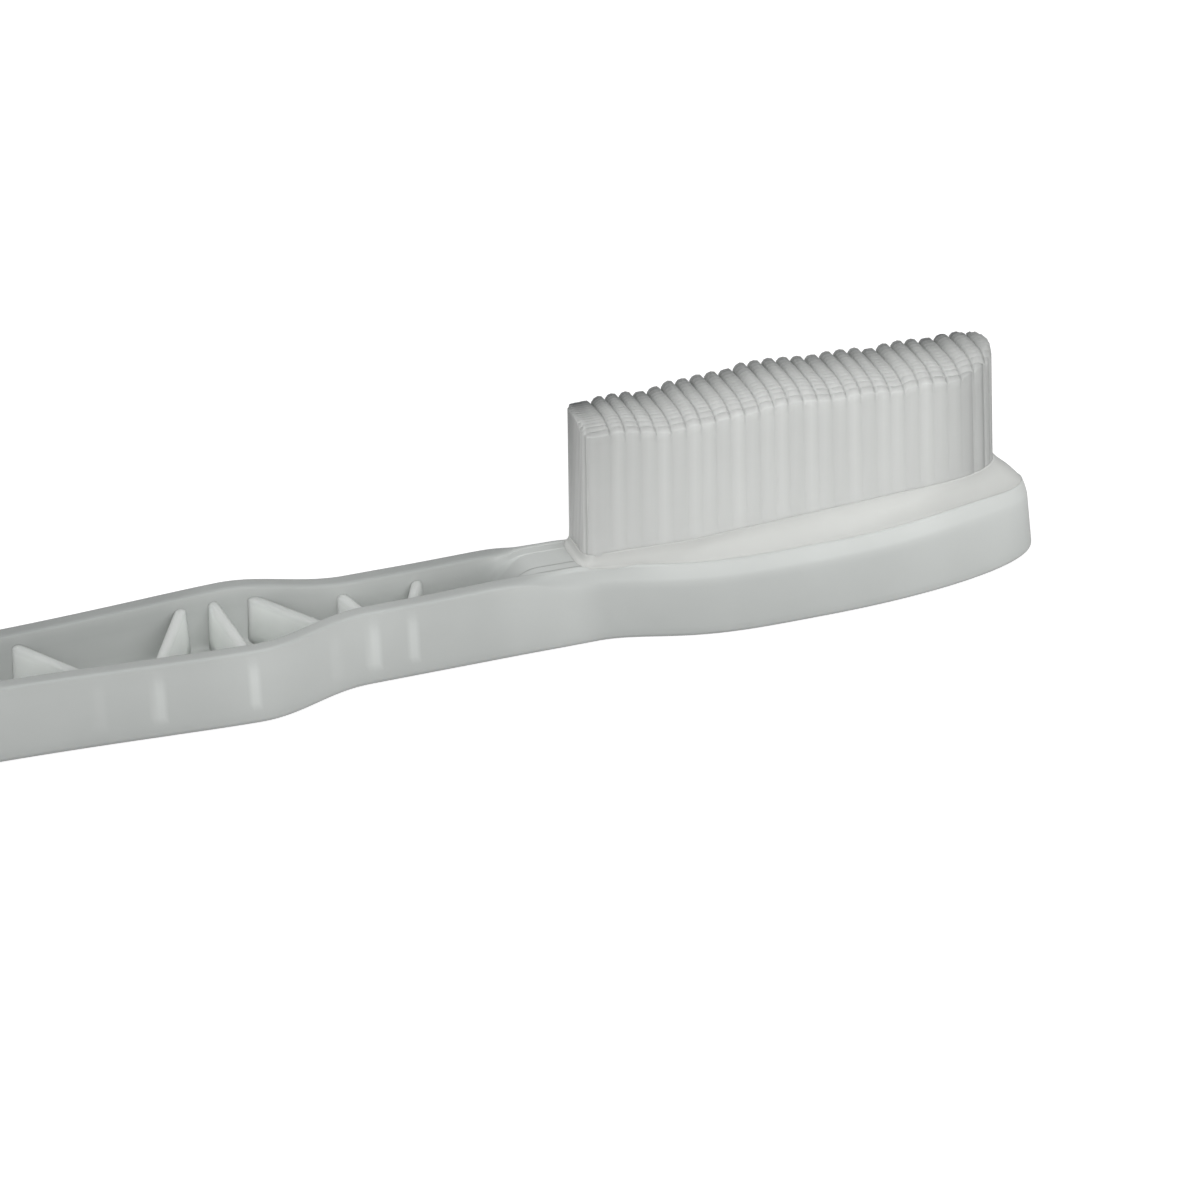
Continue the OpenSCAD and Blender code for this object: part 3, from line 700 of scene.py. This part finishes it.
# Height of the tips of each column over the back of the brush, from the back end to the front
TIP_HEIGHTS = np.array([
    16.67, 16.60, 16.74, 16.70, 16.56, 16.30, 16.38, 16.62, 16.60, 16.68, 16.74, 16.72, 17.02,
    17.03, 17.00, 16.88, 16.77, 16.64, 16.72, 16.68, 16.60, 16.34, 16.52, 16.57, 16.52, 16.38,
    16.60, 16.78, 16.95,
])
column = np.arange(len(TIP_HEIGHTS))
column_t = BLOCK_BACK - (PITCH - COLUMN_GAP) / 2 - PITCH * column
# Across one finger, as shares of half the pitch from its middle: how far its top falls, its
# thickness, and how deep it lies in the valley between two fingers
ACROSS = np.array([-1, -0.9, -0.55, 0, 0.55, 0.9])
FALL = np.array([1.1, 0.3, 0.07, 0, 0.07, 0.3])
THICKNESS = np.array([0.9, 0.94, 0.985, 1.0, 0.985, 0.94])
VALLEY = np.array([1, 0.9, 0.45, 0, 0.45, 0.9])
# Up one finger: from its foot or its tip, distance from there, share of its thickness, how much
# of the gaps the web fills, and how far an outer side flares out to the bed
FROM_TIP = np.array([0, 0, 0, 1, 1, 1])
UP_SHIFT = np.array([-0.25, 0.12, 0.8, -0.8, -0.006, 0])
UP_THICK = np.array([1, 1, 1, 1, 0.98, 0.9])
UP_FILL = np.array([1, 0.8, 0.3, 0, 0, 0])
FLARE = np.array([0.03, 0.02, 0, 0, 0, 0])
FLARE_BACK, FLARE_FADE, FLARE_REACH = 29.5, 2.5, 0.1
# The ends of a row: its thickness there, the least space to the next place, how far the top falls,
# and how finely the outline is searched for them. The two fingers at the back are one, with a
# slight dip.
END_THICK, END_SPACE, END_FALL, END_REACH = 0.1, 0.05, 0.1, 0.2
FRONT_SAMPLES, BACK_SAMPLES = 200, 600
JOINED_FALL, JOINED_VALLEY = 0.03, 0.3
# The tips: play in height from column to column and row to row, how far the near side is rounded
# down and by what power, and how shallow the valleys of the nearest row are
COLUMN_PLAY, ROW_PLAY, NEAR_DROP, NEAR_POWER, NEAR_FALL = 0.05, 0.02, 0.75, 3.5, 0.25
# How far the tips lean back at the front and the back, play in it, and how the block narrows
FRONT_LEAN, BACK_LEAN, LEAN_PLAY, TOP_NARROW, THINNEST = -0.1, 0.22, 0.03, 0.04, 0.02


def play(row, number, turn):
    """Small even differences from -1 to 1: the sine of golden-angle steps by row and number."""
    return np.sin(np.radians(row * 61.8 + number * 137.5 + turn))


def along_columns(t, values):
    """Values of the columns at distances behind the tip, straight from middle to middle."""
    return np.interp(-t, -column_t, values)


def row_middle(row):
    """Where the middle of a row lies across the brush, the near rows below zero."""
    return (row - (ROW_COUNT + 1) / 2) * ROW_PITCH


def row_places(row_y):
    """Distances behind the tip at which a row is drawn, and the fall, thickness and valley there:
    every finger's own places between the two ends, where the brush's outline cuts the row to a
    thin edge."""
    inner = max(abs(row_y) - ROW_HALF, 0)
    nose = np.linspace(BRUSH_FRONT, BLOCK_NOSE_END, FRONT_SAMPLES)
    back = np.linspace(TAPER_START, BRUSH_BACK, BACK_SAMPLES)
    front_end = np.interp(END_THICK, brush_side(nose) - inner, nose)
    back_end = np.interp(-END_THICK, inner * taper(back) - brush_side(back), back)
    every = (column_t[:, None] - ACROSS * PITCH / 2).ravel()
    fall, thick, valley = (np.tile(part, len(column)) for part in (FALL, THICKNESS, VALLEY))
    joined = (every > column_t[1]) & (every < column_t[0])
    fall[joined], thick[joined], valley[joined] = JOINED_FALL, 1, JOINED_VALLEY
    kept = every[(every < back_end - END_SPACE) & (every > front_end + END_SPACE)]
    t = np.concatenate([[back_end], kept, [front_end]])
    fall, thick, valley = (np.interp(-t, -every, part) for part in (fall, thick, valley))
    fall[[0, -1]] += END_FALL
    return t[:, None], fall[:, None], thick[:, None], valley[:, None]


def row_shape(row, t, fall, thick):
    """Points [along, around, xyz] of a row in mm, with the heights of its foot, its top and its
    drawn places. Each finger's top falls and its thickness shrinks towards its neighbours. The
    section goes up the near side, over the top and down the far side. Both sides are held inside
    the brush's outline, which narrows a little to the top, and the tips near that outline on the
    near side are rounded down by a power of how near they are."""
    far_row = (row - 1) / (ROW_COUNT - 1)
    toward_back = (t - BRUSH_FRONT) / (BRUSH_BACK - BRUSH_FRONT)
    tips = (TIP_HEIGHTS - COLUMN_PLAY * (1 + play(0, 2 * column, 45)) * (1 - far_row)
            - ROW_PLAY * (1 + play(row, column, 0)) / 2)
    top, foot = along_columns(t, tips), bed_height(t)
    up = blend(foot, top - fall * blend(NEAR_FALL, 1, far_row ** 4), FROM_TIP) + UP_SHIFT
    share_up = np.clip((up - foot) / (top - foot), 0, 1)
    outline, shrink = brush_side(t), taper(t)
    centre, half = row_middle(row) * shrink, ROW_HALF * shrink
    groove = (1 - blend(thick, 1, UP_FILL) * UP_THICK) * half
    flare = FLARE * (1 - ease((t - FLARE_BACK) / FLARE_FADE))
    near_flare, far_flare = (
        flare * np.clip(1 - (outline + side * centre - half) / FLARE_REACH, 0, 1)
        for side in (1, -1))
    far_y = np.minimum(centre + half, outline) - groove + far_flare
    near_y = np.maximum(centre - half, -outline) + groove - near_flare
    near_y = np.minimum(near_y, far_y - THINNEST)
    lean = blend(FRONT_LEAN, BACK_LEAN, toward_back)
    lean = lean + along_columns(t, LEAN_PLAY * play(3, column, 0))
    along = t - lean * share_up
    along[0] += FLARE * (t[0] > BRUSH_BACK - END_REACH)
    along[-1] -= FLARE * (t[-1] < BRUSH_FRONT + END_REACH)
    near, far = (
        np.stack([
            LENGTH / 2 - along,
            y * (1 - TOP_NARROW * share_up),
            up - FROM_TIP * NEAR_DROP * np.clip(-y / outline, 0, 1) ** NEAR_POWER,
        ], axis=-1)
        for y in (near_y, far_y))
    return np.concatenate([near, far[:, ::-1]], axis=1), foot, top, up


def fading(distance, reach):
    """One at no distance, and less by the exponential of minus the distance over the reach."""
    return np.exp(-distance / reach)


# Painted shade on a row by place, each with its reach in mm: at the tips, more on far rows and
# at the back, on the far rows' domes, on the near rows' edge, in the valleys near the tips and
# lower down, towards the foot, and at the front and the back of the block
PALE_BRISTLE = 0.722
TIP_DARK, TIP_DARK_FAR, TIP_DARK_BACK, TIP_REACH, TIP_REACH_BACK = 0.1, 0.14, 0.08, 1.1, 2.0
DOME_DARK, DOME_POWER, DOME_PALER, DOME_REACH = 0.5, 2.2, 0.05, 0.5
NEAR_EDGE_DARK, NEAR_EDGE_REACH = 0.15, 0.7
VALLEY_TIP_DARK, VALLEY_TIP_REACH, VALLEY_DARK, VALLEY_START = 0.12, 1.5, 0.08, 2.5
LOW_DARK, LOW_REACH, FRONT_DARK, FRONT_REACH = 0.15, 4.0, 0.25, 1.6
BACK_DARK, BACK_REACH = 0.13, 5.0
ROOT_LIGHT, ROOT_REACH, BACK_FACE_LIGHT, FINGER_PLAY = 0.2, 0.4, 1.25, 0.035


def row_paleness(row, t, valley, foot, top, up):
    """How pale a row is: the painted shade by place taken off one, times the base value, with a
    line of painted light at the root, painted light on the back face and a little play from finger
    to finger."""
    far_row = (row - 1) / (ROW_COUNT - 1)
    near_edge = np.clip(-row_middle(row) / BLOCK_HALF, 0, 1) ** 3
    below_top = np.clip(top - up, 0, None)
    above_foot = np.clip(up - foot, 0, None)
    near_back = fading(BRUSH_BACK - t, BACK_REACH)
    painted_shade = ((TIP_DARK + TIP_DARK_FAR * far_row + TIP_DARK_BACK * near_back)
            * fading(below_top, TIP_REACH + TIP_REACH_BACK * near_back)
            + (DOME_DARK * far_row ** DOME_POWER - DOME_PALER) * fading(below_top, DOME_REACH)
            + NEAR_EDGE_DARK * near_edge * fading(below_top, NEAR_EDGE_REACH)
            + VALLEY_TIP_DARK * valley * far_row * fading(below_top, VALLEY_TIP_REACH)
            + VALLEY_DARK * valley * (1 - fading(above_foot, VALLEY_START))
            + LOW_DARK * fading(above_foot, LOW_REACH)
            + FRONT_DARK * fading(t - t[-1], FRONT_REACH) + BACK_DARK * near_back)
    light = PALE_BRISTLE * (1 + ROOT_LIGHT * fading(above_foot, ROOT_REACH)) * (1 - painted_shade)
    light[0] *= BACK_FACE_LIGHT
    light = light * (1 + along_columns(t, FINGER_PLAY * play(row, column, 90)))
    return np.concatenate([light, light[:, ::-1]], axis=1)


bristle_material = milky_material("soft_bristle", deep=(0.0, 0.004, 0.006, 1),
                                  tint=(0.985, 1.0, 0.975, 1), cloud_size=6.0,
                                  cloud_amount=0.01, rough=0.55, gloss=0.25, inner_weight=0.6,
                                  inner_reach=1.0)
for row in range(1, ROW_COUNT + 1):
    t, fall, thick, valley = row_places(row_middle(row))
    row_points, foot, top, up = row_shape(row, t, fall, thick)
    row_pale = row_paleness(row, t, valley, foot, top, up)
    length, around = row_points.shape[:2]
    low, here = np.meshgrid(np.arange(length - 1) * around, np.arange(around), indexing="ij")
    there = (here + 1) % around
    walls = np.stack([low + here, low + here + around, low + there + around, low + there],
                     axis=-1).reshape(-1, 4)
    last = (length - 1) * around
    caps = [list(range(around)), list(range(last, last + around))[::-1]]
    piece = add_piece(f"bristles_{row:02d}", row_points * MM, walls.tolist() + caps,
                      bristle_material, row_pale)
    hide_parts(f"bristle_row_{row:02d}")
